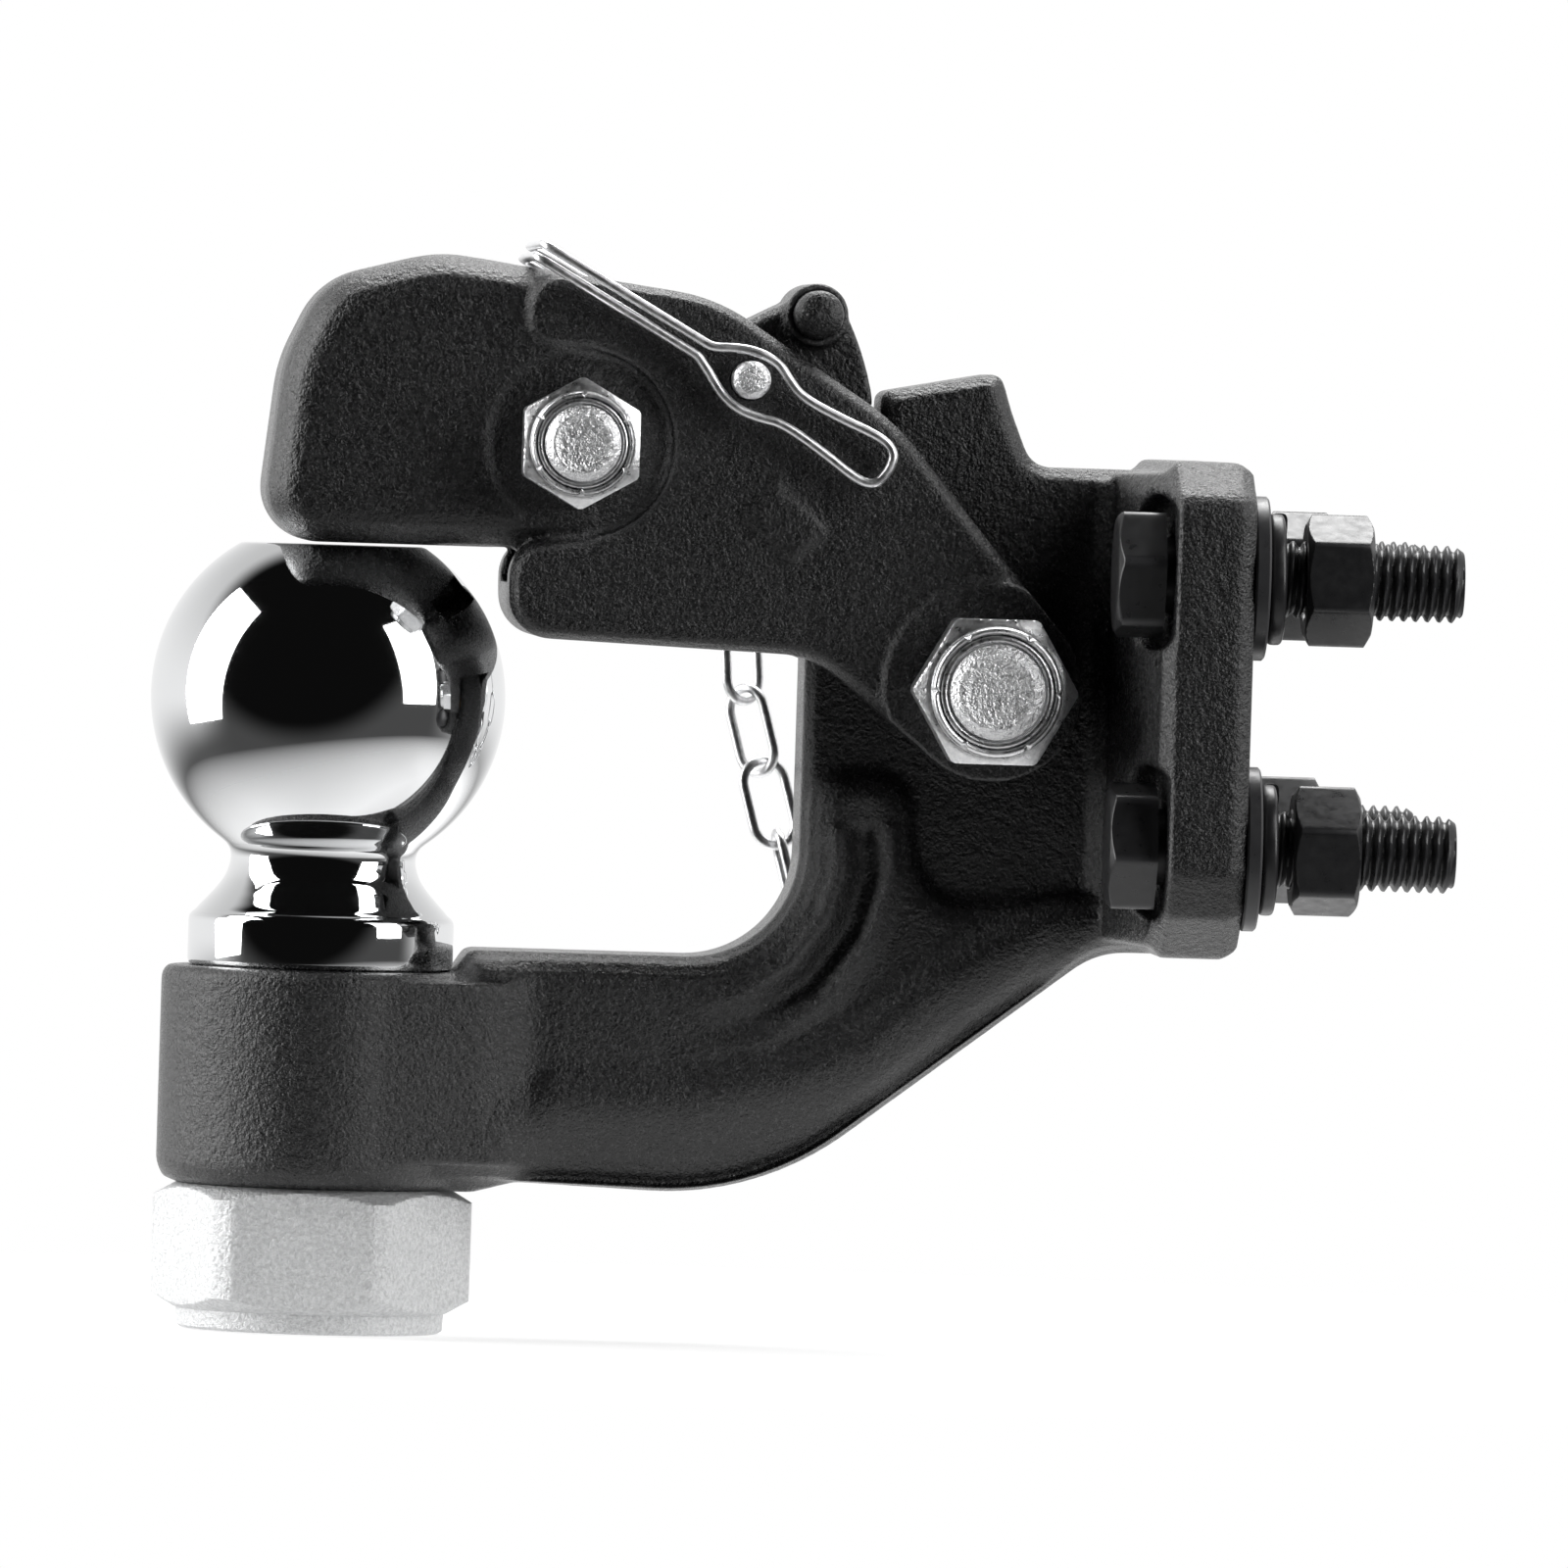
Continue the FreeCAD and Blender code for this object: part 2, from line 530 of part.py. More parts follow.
def chain_upper():
    way = (CHAIN_BEND - CHAIN_TOP).normalize()
    first = RING_DROP + RING_R - 2 * CHAIN_R - 0.3 + CHAIN_R + CHAIN_GAP
    return link_run(CHAIN_TOP + way * first, CHAIN_BEND, (45, -45, 45, -45))


def chain_middle():
    return link_run(CHAIN_BEND, CHAIN_LOW, (45, -25, 85))


def chain_lower():
    """Two links that leave the low joint sharply; the first is shifted so that its end clears the link above."""
    start = CHAIN_LOW + V(-0.9, 0, -0.95)
    way = (CHAIN_END - start).normalize()
    last = ANCHOR_RING_R - 2 * CHAIN_R - 0.3 + CHAIN_R + CHAIN_GAP
    return link_run(start, CHAIN_END - way * last, (0, 90))


def anchor_ring():
    return ring(CHAIN_END, ANCHOR_RING_R)


def anchor_screw():
    """Shouldered screw in the hook's far side that holds the chain."""
    solid = cyl(3.2, 2.0, WEB_HALF, ANCHOR)
    solid = solid.fuse(cyl(2.4, WEB_HALF, ANCHOR_Y + 6.4, ANCHOR))
    solid = solid.fuse(cyl(6.4, WEB_HALF, WEB_HALF + 1.2, ANCHOR))
    return solid.fuse(cyl(7.2, ANCHOR_Y + 6.4, ANCHOR_Y + 8.6, ANCHOR))


# ---- mounting hardware ----
def mounting_bolts():
    """Hexagon bolts; the shank is at the thread's pitch diameter and the free end at its full one."""
    bolts = []
    end = FACE_X + BOLT_END
    for y, z in bolt_places():
        head = hexagon(19.05, HEAD_X - 7.9, HEAD_X, (y, z), "x", 48 if z > BOLT_Z else 12)
        shank = cyl(BOLT_R - 0.35, HEAD_X, FACE_X + 20.0, (y, z), "x")
        thread = cyl(BOLT_R, FACE_X + 20.0, end - 1.0, (y, z), "x")
        tip = Part.makeCone(BOLT_R, BOLT_R - 1.0, 1.0, V(end - 1.0, y, z), V(1, 0, 0))
        bolts.append(head.fuse([shank, thread, tip]))
    return Part.makeCompound(bolts)


def flat_washers():
    out = []
    for y, z in bolt_places():
        out.append(cyl(13.5, FACE_X, FACE_X + 2.5, (y, z), "x").cut(cyl(6.9, 140, 170, (y, z), "x")))
    return Part.makeCompound(out)


def lock_washers():
    """Split spring washers."""
    out = []
    x0 = FACE_X + 2.5
    for y, z in bolt_places():
        body = cyl(10.9, x0, x0 + 3.4, (y, z), "x").cut(cyl(6.7, 140, 170, (y, z), "x"))
        slit = Part.makeBox(10, 1.0, 12, V(-5, -0.5, 5))
        slit.rotate(V(0, 0, 0), V(0, 0, 1), 25)
        slit.translate(V(x0 + 1.7, y, z))
        out.append(body.cut(slit))
    return Part.makeCompound(out)


def mounting_nuts():
    out = []
    for y, z in bolt_places():
        upper = z > BOLT_Z
        x0 = FACE_X + 5.9 + (3.0 if upper else 2.2)
        nut = hexagon(19.05, x0, x0 + 11.0, (y, z), "x", 26 if upper else 41)
        out.append(nut.cut(cyl(BOLT_R + 0.05, 140, 180, (y, z), "x")))
    return Part.makeCompound(out)


NUT_FACE = -EAR_OUT - 1.0
PIECES = {
    "hook_body": hook_body,
    "hitch_ball": hitch_ball,
    "ball_nut": ball_nut,
    "ball_nut_insert": ball_nut_insert,
    "pivot_bush": pivot_bush,
    "jaw": jaw,
    "jaw_pivot_bolt": pivot_bolt,
    "jaw_pivot_nut": lambda: lock_nut(23.8, PIVOT_R, PIVOT, NUT_FACE, 15.0, 0),
    "jaw_nut_insert": lambda: nut_insert(23.8, PIVOT_R, PIVOT, NUT_FACE, 15.0),
    "lock_pawl": lock_pawl,
    "lift_bar": lift_bar,
    "pawl_spring": pawl_spring,
    "pawl_bolt": pawl_bolt,
    "pawl_nut": lambda: lock_nut(19.05, PAWL_BOLT_R, PAWL, RECESS - NOSE_HALF, 13.0, 30),
    "pawl_nut_insert": lambda: nut_insert(19.05, PAWL_BOLT_R, PAWL, RECESS - NOSE_HALF, 13.0),
    "safety_pin": safety_pin,
    "wire_bail": wire_bail,
    "chain_ring": chain_ring,
    "chain_upper": chain_upper,
    "chain_middle": chain_middle,
    "chain_lower": chain_lower,
    "anchor_ring": anchor_ring,
    "chain_anchor_screw": anchor_screw,
    "mounting_bolts": mounting_bolts,
    "flat_washers": flat_washers,
    "lock_washers": lock_washers,
    "mounting_nuts": mounting_nuts,
}

os.makedirs("parts", exist_ok=True)
for name, make in PIECES.items():
    shape = make()
    shape.translate(V(-FACE_X, 0, -BOLT_Z))
    print(name, len(shape.Solids), shape.isValid(), round(shape.Volume, 1))
    shape.exportStep(f"parts/{name}.step")
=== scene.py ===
import bpy
import bmesh
import json
import math
from mathutils import Matrix, Vector


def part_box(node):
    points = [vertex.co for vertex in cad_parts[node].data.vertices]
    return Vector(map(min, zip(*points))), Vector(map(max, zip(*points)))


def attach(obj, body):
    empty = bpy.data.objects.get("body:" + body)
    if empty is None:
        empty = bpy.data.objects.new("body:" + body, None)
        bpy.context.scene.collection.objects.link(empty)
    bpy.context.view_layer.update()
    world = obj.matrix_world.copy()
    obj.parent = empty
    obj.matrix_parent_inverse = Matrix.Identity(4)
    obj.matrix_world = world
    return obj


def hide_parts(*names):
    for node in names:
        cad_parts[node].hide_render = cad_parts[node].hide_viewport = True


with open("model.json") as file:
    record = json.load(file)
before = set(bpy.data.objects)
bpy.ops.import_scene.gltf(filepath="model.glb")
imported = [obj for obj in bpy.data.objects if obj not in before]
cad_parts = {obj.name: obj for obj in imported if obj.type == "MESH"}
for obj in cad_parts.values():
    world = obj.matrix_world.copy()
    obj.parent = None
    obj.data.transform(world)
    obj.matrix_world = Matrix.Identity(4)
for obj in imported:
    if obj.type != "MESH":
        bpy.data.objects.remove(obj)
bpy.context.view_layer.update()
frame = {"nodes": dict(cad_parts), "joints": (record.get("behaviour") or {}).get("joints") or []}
nodes = frame["nodes"]
joints = {j["name"]: j for j in frame["joints"]}
scene = bpy.context.scene
MM = 0.001

# ---------------------------------------------------------------- sizes
BALL_R = 29.37 * MM
BALL_FLAT = 25.2 * MM  # from the ball's centre up to its flat top
BALL_NUT_ACROSS = 47.6 * MM
BALL_NUT_COLLAR = 3.4 * MM  # height of the round collar under its hexagon
JAW_BOLT_R, JAW_BOLT_ACROSS, JAW_BOLT_HEAD = 7.94 * MM, 23.8 * MM, 10.0 * MM
PAWL_BOLT_R, PAWL_BOLT_ACROSS, PAWL_BOLT_HEAD = 6.35 * MM, 19.05 * MM, 8.0 * MM
BOLT_R = 6.35 * MM  # mounting bolts, 1/2 inch
BOLT_SHANK_R = 6.25 * MM
BOLT_ACROSS = 19.05 * MM
BOLT_HEAD = 7.9 * MM
PITCH = 25.4 / 13 * MM
THREAD_DEPTH = 1.0 * MM
NUT_TALL = 11.0 * MM
ROW_Y = 42.85 * MM  # half the distance between the two columns of bolts
ROW_Z = 22.225 * MM  # half the distance between the two rows
WASHER_THICK = 2.5 * MM
WASHERS_THICK = 5.9 * MM  # flat and spring washer together
UPPER_NUT_GAP, LOWER_NUT_GAP = 3.0 * MM, 2.2 * MM
BAIL_WIRE_R = 0.8 * MM
PIN_R = 3.175 * MM
BAR_R = 4.0 * MM


def centre(node):
    """Middle of a CAD node's box."""
    low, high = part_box(node)
    return (Vector(low) + Vector(high)) / 2


def pivot(joint):
    """A point on a joint's axis."""
    return Vector(joints[joint]["pos_m"])


BALL = centre("hitch_ball")
BALL.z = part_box("hitch_ball")[1][2] - BALL_FLAT
MAIN = pivot("jaw_open")
PAWL = pivot("pawl_lift")
PIN = pivot("bail_swing")
BAR = centre("lift_bar")


# ---------------------------------------------------------------- materials
class Mat:
    """A node material with a Principled shader and short calls for its detail."""

    def __init__(self, name, roughness, metallic=0.0, specular=0.5):
        self.mat = bpy.data.materials.new(name)
        self.mat.use_nodes = True
        self.tree = self.mat.node_tree
        self.shader = self.tree.nodes["Principled BSDF"]
        self.shader.inputs["Roughness"].default_value = roughness
        self.shader.inputs["Metallic"].default_value = metallic
        self.shader.inputs["Specular IOR Level"].default_value = specular
        self.place = self.tree.nodes.new("ShaderNodeTexCoord").outputs["Object"]
        self.normal = None

    def noise(self, scale, detail=3.0, rough=0.55, stretch=None):
        """Noise in object space; its scale is in waves per metre."""
        place = self.place
        if stretch:
            mapping = self.tree.nodes.new("ShaderNodeMapping")
            mapping.inputs["Scale"].default_value = stretch
            self.tree.links.new(place, mapping.inputs["Vector"])
            place = mapping.outputs["Vector"]
        node = self.tree.nodes.new("ShaderNodeTexNoise")
        node.inputs["Scale"].default_value = scale
        node.inputs["Detail"].default_value = detail
        node.inputs["Roughness"].default_value = rough
        self.tree.links.new(place, node.inputs["Vector"])
        return node.outputs["Fac"]

    def ramp(self, value, low, high, a=0.0, b=1.0):
        """Maps low..high onto a..b, and holds it there outside."""
        node = self.tree.nodes.new("ShaderNodeMapRange")
        node.clamp = True
        for key, number in (("From Min", low), ("From Max", high), ("To Min", a), ("To Max", b)):
            node.inputs[key].default_value = number
        self.tree.links.new(value, node.inputs["Value"])
        return node.outputs["Result"]

    def mix(self, value, a, b):
        """Colour a where the value is 0, colour b where it is 1."""
        node = self.tree.nodes.new("ShaderNodeMix")
        node.data_type = "RGBA"
        for socket, colour in ((6, a), (7, b)):
            if isinstance(colour, tuple):
                node.inputs[socket].default_value = (*colour, 1.0)
            else:
                self.tree.links.new(colour, node.inputs[socket])
        self.tree.links.new(value, node.inputs[0])
        return node.outputs[2]

    def bump(self, height, depth, strength=1.0):
        """Relief on top of the relief made so far."""
        node = self.tree.nodes.new("ShaderNodeBump")
        node.inputs["Distance"].default_value = depth
        node.inputs["Strength"].default_value = strength
        self.tree.links.new(height, node.inputs["Height"])
        if self.normal is not None:
            self.tree.links.new(self.normal, node.inputs["Normal"])
        self.normal = node.outputs["Normal"]
        self.tree.links.new(self.normal, self.shader.inputs["Normal"])

    def set(self, key, value):
        self.tree.links.new(value, self.shader.inputs[key])

    def edges(self, low, high):
        """Mask of sharp edges, from 0 on flats to 1 on sharp edges, by the surface's pointiness, for painting
        edges lighter.
        """
        geo = self.tree.nodes.new("ShaderNodeNewGeometry")
        return self.ramp(geo.outputs["Pointiness"], low, high)


def powder_coat():
    """Black powder coat: a fine sandy grain over the softer unevenness of a forging."""
    dark, pale = (0.0042, 0.0042, 0.0044), (0.0075, 0.0075, 0.0078)
    painted_glint, pale_edge = (0.032, 0.032, 0.033), (0.06, 0.06, 0.061)
    m = Mat("powder_coat_black", 0.24, specular=0.6)
    base = m.mix(m.ramp(m.noise(60.0, 4.0), 0.35, 0.7), dark, pale)
    # Sparse pale flecks in the colour: painted glints that stand in for the sparkle of the coat's grain.
    base = m.mix(m.ramp(m.noise(1700.0, 1.0, 0.7), 0.57, 0.66), base, painted_glint)
    # Sharp edges painted lighter: partly worn coat, partly a painted highlight on the rounded rims.
    m.set("Base Color", m.mix(m.edges(0.52, 0.57), base, pale_edge))
    m.set("Roughness", m.ramp(m.noise(1000.0, 3.0), 0.3, 0.7, 0.17, 0.31))
    m.bump(m.noise(95.0, 3.0), 0.9 * MM, 0.3)
    m.bump(m.noise(800.0, 2.0, 0.6), 0.4 * MM, 0.7)
    m.bump(m.noise(1900.0, 3.0, 0.65), 0.3 * MM, 1.0)
    return m.mat


def chrome():
    """Mirror chrome with the faintest polishing marks."""
    dull, bright = (0.83, 0.84, 0.85), (0.88, 0.885, 0.89)
    m = Mat("ball_chrome", 0.035, metallic=1.0)
    m.set("Base Color", m.mix(m.noise(25.0, 2.0), dull, bright))
    m.set("Roughness", m.ramp(m.noise(300.0, 3.0, stretch=(1.0, 1.0, 18.0)), 0.3, 0.75, 0.02, 0.06))
    m.bump(m.noise(420.0, 2.0, stretch=(1.0, 1.0, 12.0)), 0.004 * MM, 0.1)
    return m.mat


def zinc(name, grain, rough, light, coarse=2200.0):
    """Bright zinc plate, with the grain of the cold-headed steel under it."""
    m = Mat(name, rough, metallic=1.0)
    tone = m.noise(1400.0, 3.0, 0.65)
    dull, bright = (light * 0.76, light * 0.765, light * 0.78), (light, light, light)
    m.set("Base Color", m.mix(m.ramp(tone, 0.3, 0.7), dull, bright))
    m.set("Roughness", m.ramp(m.noise(700.0, 3.0), 0.3, 0.7, rough * 0.75, rough * 1.3))
    m.bump(m.noise(coarse, 3.0, 0.6), 0.2 * MM, grain)
    return m.mat


def black_oxide():
    """Smooth black oxide of the mounting hardware, a little oily."""
    dark, pale, pale_edge = (0.012, 0.012, 0.013), (0.020, 0.020, 0.021), (0.10, 0.10, 0.105)
    m = Mat("black_oxide", 0.32, specular=0.5)
    base = m.mix(m.noise(220.0, 3.0), dark, pale)
    m.set("Base Color", m.mix(m.edges(0.54, 0.64), base, pale_edge))
    m.set("Roughness", m.ramp(m.noise(500.0, 3.0), 0.3, 0.7, 0.26, 0.42))
    m.bump(m.noise(900.0, 2.0), 0.04 * MM, 0.25)
    return m.mat


def matte_zinc():
    """Pale, sandy zinc of the large ball nut."""
    dull, bright = (0.48, 0.485, 0.49), (0.78, 0.785, 0.79)
    m = Mat("matte_zinc", 0.5, metallic=0.55)
    m.set("Base Color", m.mix(m.ramp(m.noise(1500.0, 4.0, 0.7), 0.3, 0.7), dull, bright))
    m.set("Roughness", m.ramp(m.noise(1200.0, 3.0), 0.3, 0.7, 0.4, 0.6))
    m.bump(m.noise(1500.0, 3.0, 0.7), 0.5 * MM, 0.9)
    m.bump(m.noise(160.0, 2.0), 0.4 * MM, 0.2)
    return m.mat


def mottled(name, a, b, rough, metallic):
    """Two close tones over a faint grain, for the small inner parts."""
    m = Mat(name, rough, metallic=metallic)
    m.set("Base Color", m.mix(m.noise(200.0, 3.0), a, b))
    m.set("Roughness", m.ramp(m.noise(500.0, 2.0), 0.3, 0.7, rough * 0.8, rough * 1.25))
    m.bump(m.noise(800.0, 2.0), 0.08 * MM, 0.3)
    return m.mat


POWDER = powder_coat()
CHROME = chrome()
ZINC = zinc("zinc_bright", 0.35, 0.32, 0.92)
ZINC_END = zinc("zinc_cropped_end", 2.4, 0.4, 1.0, 1300.0)
WIRE = zinc("zinc_wire", 0.05, 0.38, 0.96)
MATTE = matte_zinc()
OXIDE = black_oxide()
NYLON = mottled("nylon_natural", (0.70, 0.71, 0.72), (0.80, 0.81, 0.81), 0.45, 0.0)
BRONZE = mottled("bush_bronze", (0.42, 0.27, 0.11), (0.52, 0.35, 0.15), 0.35, 1.0)
SPRING = mottled("spring_steel", (0.25, 0.25, 0.26), (0.36, 0.36, 0.37), 0.3, 1.0)


# ---------------------------------------------------------------- mesh makers
def finish_piece(obj, body, material, replaced=(), smooth=40.0):
    """Material, body and shading of a new piece; the CAD nodes it replaces are hidden. Edges sharper than smooth
    degrees stay crisp.
    """
    obj.data.materials.clear()
    obj.data.materials.append(material)
    if obj.type == "MESH":
        obj.data.shade_smooth()
        if smooth:
            obj.data.set_sharp_from_angle(angle=math.radians(smooth))
    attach(obj, body)
    if replaced:
        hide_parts(*replaced)
    return obj


def new_mesh(name, verts, faces):
    mesh = bpy.data.meshes.new(name)
    mesh.from_pydata([tuple(v) for v in verts], [], faces)
    mesh.update()
    obj = bpy.data.objects.new(name, mesh)
    scene.collection.objects.link(obj)
    return obj


def axis_matrix(axis, at):
    """Turns local Z to the named axis, at a point."""
    way = {"x": Matrix.Rotation(math.pi / 2, 4, "Y"), "y": Matrix.Rotation(-math.pi / 2, 4, "X"),
           "-y": Matrix.Rotation(math.pi / 2, 4, "X"), "z": Matrix.Identity(4)}[axis]
    return Matrix.Translation(at) @ way


def circles(rows, turn, steps):
    """Points round the axis for rows of (height, radius). A radius may be a function of the angle."""
    verts = []
    for h, r in rows:
        for i in range(steps):
            w = 2 * math.pi * i / steps
            reach = r(w) if callable(r) else r
            verts.append(turn @ Vector((reach * math.cos(w), reach * math.sin(w), h)))
    return verts


def band(a, b, steps):
    """Faces between row a and row b."""
    faces = []
    for i in range(steps):
        k = (i + 1) % steps
        faces.append((a * steps + i, a * steps + k, b * steps + k, b * steps + i))
    return faces


def polar(name, rows, axis, at, steps=144):
    """Closed skin round an axis. The first and last row close onto the axis."""
    turn = axis_matrix(axis, at)
    verts = circles(rows, turn, steps)
    faces = []
    for j in range(len(rows) - 1):
        faces += band(j, j + 1, steps)
    for j, flip in ((0, True), (len(rows) - 1, False)):
        tip = len(verts)
        verts.append(turn @ Vector((0, 0, rows[j][0])))
        for i in range(steps):
            a, b = j * steps + i, j * steps + (i + 1) % steps
            faces.append((b, a, tip) if flip else (a, b, tip))
    return new_mesh(name, verts, faces)


def ring_skin(name, rows, axis, at, steps=144):
    """Closed tube-like skin round an axis, with a hole through it: the last row joins the first."""
    faces = []
    for j in range(len(rows)):
        faces += band(j, (j + 1) % len(rows), steps)
    return new_mesh(name, circles(rows, axis_matrix(axis, at), steps), faces)


def hex_radius(across, phase, soft=0.985):
    """Distance from a hexagon's middle to its side at an angle. Its corners are cut at the share soft."""
    corner = across / math.sqrt(3)

    def reach(w):
        local = (w - phase) % (math.pi / 3) - math.pi / 6
        return min(across / 2 / math.cos(local), corner * soft)
    return reach


def clipped(reach, limit):
    return lambda w: min(reach(w), limit)


FACE_CIRCLE = 0.955  # radius where a chamfer starts, as a share of half the distance across flats
CHAMFER_ROWS = 9


def hex_rows(low, high, across, phase, chamfer_low=True, chamfer_high=True, soft=0.985):
    """Rows of a hexagon from low to high, its ends cut by 30 degree cones so that its sides arch."""
    reach = hex_radius(across, phase, soft)
    flat = across / 2
    slope = math.tan(math.radians(60))
    depth = (across / math.sqrt(3) - flat * FACE_CIRCLE) / slope
    marks = [depth * i / CHAMFER_ROWS for i in range(CHAMFER_ROWS + 1)]
    rows = []
    if chamfer_low:
        rows += [(low + d, clipped(reach, flat * FACE_CIRCLE + d * slope)) for d in marks]
    else:
        rows += [(low, reach)]
    if chamfer_high:
        rows += [(high - d, clipped(reach, flat * FACE_CIRCLE + d * slope)) for d in reversed(marks)]
    else:
        rows += [(high, reach)]
    return rows


def smooth_step(t):
    """From 0 to 1 with level ends, as t goes from 0 to 1."""
    t = max(0.0, min(1.0, t))
    return t * t * (3.0 - 2.0 * t)


def eased(points, steps=6):
    """A smooth run (Catmull-Rom) through a profile's points."""
    run = []
    for i in range(len(points) - 1):
        a, b, c, d = (points[max(i - 1, 0)], points[i], points[i + 1], points[min(i + 2, len(points) - 1)])
        for k in range(steps):
            t = k / steps
            run.append(tuple(0.5 * (2 * q + (r - p) * t + (2 * p - 5 * q + 4 * r - s) * t * t
                                    + (3 * q - p - 3 * r + s) * t ** 3) for p, q, r, s in zip(a, b, c, d)))
    return run + [points[-1]]


def nearest(path, x, z):
    """Distance to a path, how far along it the nearest point is (0 to 1), and whether (x, z) is below it."""
    best = (math.inf, 0.0, False)
    last = len(path) - 1
    for i in range(last):
        ax, az = path[i]
        dx, dz = path[i + 1][0] - ax, path[i + 1][1] - az
        t = max(0.0, min(1.0, ((x - ax) * dx + (z - az) * dz) / (dx * dx + dz * dz)))
        gap = math.hypot(x - ax - t * dx, z - az - t * dz)
        if gap < best[0]:
            best = (gap, (i + t) / last, dx * (z - az) - dz * (x - ax) < 0)
    return best


def wire(name, points, radius, body, material, closed=False):
    """Round wire along a smooth curve through its control points."""
    curve = bpy.data.curves.new(name, "CURVE")
    curve.dimensions = "3D"
    curve.bevel_depth = radius
    curve.bevel_resolution = 5
    curve.use_fill_caps = True
    curve.resolution_u = 10
    spline = curve.splines.new("NURBS")
    spline.points.add(len(points) - 1)
    for p, v in zip(spline.points, points):
        p.co = (*v, 1.0)
    spline.order_u = 3
    spline.use_endpoint_u = not closed
    spline.use_cyclic_u = closed
    tube = bpy.data.objects.new(name, curve)
    scene.collection.objects.link(tube)
    mesh = bpy.data.meshes.new_from_object(tube.evaluated_get(bpy.context.evaluated_depsgraph_get()))
    bpy.data.objects.remove(tube)
    obj = bpy.data.objects.new(name, mesh)
    scene.collection.objects.link(obj)
    return finish_piece(obj, body, material, smooth=0)


# ---------------------------------------------------------------- castings
# Lines on the hook's side, in mm from the ball's centre.
FINGER_GROOVE = [(88.4, -17.5), (89.2, -26.4), (86.6, -35.5), (80.4, -44.4), (71.6, -50.4), (57.0, -53.4)]
ARM_CREST = [(24.4, -77.3), (30.8, -69.0), (39.8, -65.3), (60.6, -64.6), (77.1, -60.7), (89.5, -55.4),
             (101.5, -44.9), (117.8, -34.5), (129.3, -26.8)]
# Relief of the hook's side, in mm. It fades in from one distance off the middle plane, and ends at the limit, so
# that the flange has none.
SIDE_FROM, SIDE_FADE, SIDE_LIMIT = 13.4, 4.2, 24.0
GROOVE_DEPTH, GROOVE_WIDTH = 1.8, 1.9
BEAD_HEIGHT, BEAD_WIDTH, BEAD_AWAY = 1.2, 1.6, 4.2
BELOW_DEPTH, BELOW_WIDTH = 5.0, 14.0
ABOVE_DEPTH, ABOVE_WIDTH = 1.8, 7.0
HOOK_VOXEL, JAW_VOXEL, PAWL_VOXEL = 0.7 * MM, 0.65 * MM, 0.6 * MM


def hook_relief(x, y, z):
    """How far the hook's side lies inward: a groove between two beads down the finger, and slopes on both
    sides of the arm's crest."""
    out = smooth_step((abs(y) - SIDE_FROM) / SIDE_FADE)
    if out == 0.0 or abs(y) > SIDE_LIMIT:
        return 0.0
    gap, along, _ = nearest(FINGER_GROOVE, x, z)
    groove = GROOVE_DEPTH * math.exp(-(gap / GROOVE_WIDTH) ** 2)
    groove -= BEAD_HEIGHT * math.exp(-((gap - BEAD_AWAY) / BEAD_WIDTH) ** 2)
    groove *= smooth_step(along / 0.08 + 0.3) * smooth_step((1.0 - along) / 0.4)
    gap, _, under = nearest(ARM_CREST, x, z)
    depth, width = (BELOW_DEPTH, BELOW_WIDTH) if under else (ABOVE_DEPTH, ABOVE_WIDTH)
    slope = depth * smooth_step(gap / width)
    reach = smooth_step((x - 25.0) / 12.0) * smooth_step((125.0 - x) / 8.0)
    return out * (groove + slope * reach)


def casting(name, node, body, voxel, rounds, relief=None):
    """A forged skin over a CAD solid: remeshed finely and relaxed, so that its edges roll over."""
    mesh = nodes[node].data.copy()
    obj = bpy.data.objects.new(name, mesh)
    scene.collection.objects.link(obj)
    remesh = obj.modifiers.new("remesh", "REMESH")
    remesh.mode = "VOXEL"
    remesh.voxel_size = voxel * 1.0
    relax = obj.modifiers.new("relax", "SMOOTH")
    relax.factor = 0.5
    relax.iterations = rounds
    made = bpy.data.meshes.new_from_object(obj.evaluated_get(bpy.context.evaluated_depsgraph_get()))
    obj.modifiers.clear()
    obj.data = made
    if relief:
        for v in made.vertices:
            place = (v.co - BALL) / MM
            v.co.y -= math.copysign(relief(place.x, place.y, place.z), v.co.y) * MM
    return finish_piece(obj, body, POWDER, (node,), smooth=0)


casting("hook_forging", "hook_body", "hook", HOOK_VOXEL, 5, hook_relief)
casting("jaw_forging", "jaw", "jaw", JAW_VOXEL, 4)
casting("pawl_forging", "lock_pawl", "pawl", PAWL_VOXEL, 4)

# ---------------------------------------------------------------- ball and its nut
# (height, radius) in mm from the ball's centre: the waisted neck, then the collar and the shank.
NECK = [(-24.6, 16.2), (-25.6, 15.55), (-27.0, 15.3), (-28.6, 15.6), (-30.3, 16.3), (-32.0, 17.5),
        (-33.6, 18.9), (-35.0, 20.2), (-35.8, 20.9), (-36.3, 21.5), (-36.9, 21.9)]
COLLAR = [(-37.6, 22.0), (-43.9, 22.0), (-44.6, 21.8), (-44.95, 21.3), (-45.0, 15.87), (-103.0, 15.87),
          (-104.4, 14.4)]
SPHERE_ROWS = 96
SPHERE_END_R = 17.0 * MM  # where the sphere gives way to the neck


def ball_rows():
    """(height, radius) of the ball from the end of its shank up to its flat top."""
    flat_r = math.sqrt(BALL_R * BALL_R - BALL_FLAT * BALL_FLAT)
    rows = [(BALL_FLAT, 0.2 * MM), (BALL_FLAT, flat_r - 0.35 * MM)]
    start = math.asin(BALL_FLAT / BALL_R) - 0.012
    stop = -math.acos(SPHERE_END_R / BALL_R)
    for i in range(SPHERE_ROWS + 1):
        w = start + (stop - start) * i / SPHERE_ROWS
        rows.append((BALL_R * math.sin(w), BALL_R * math.cos(w)))
    rows += [(z * MM, r * MM) for z, r in eased(NECK) + COLLAR]
    return list(reversed(rows))


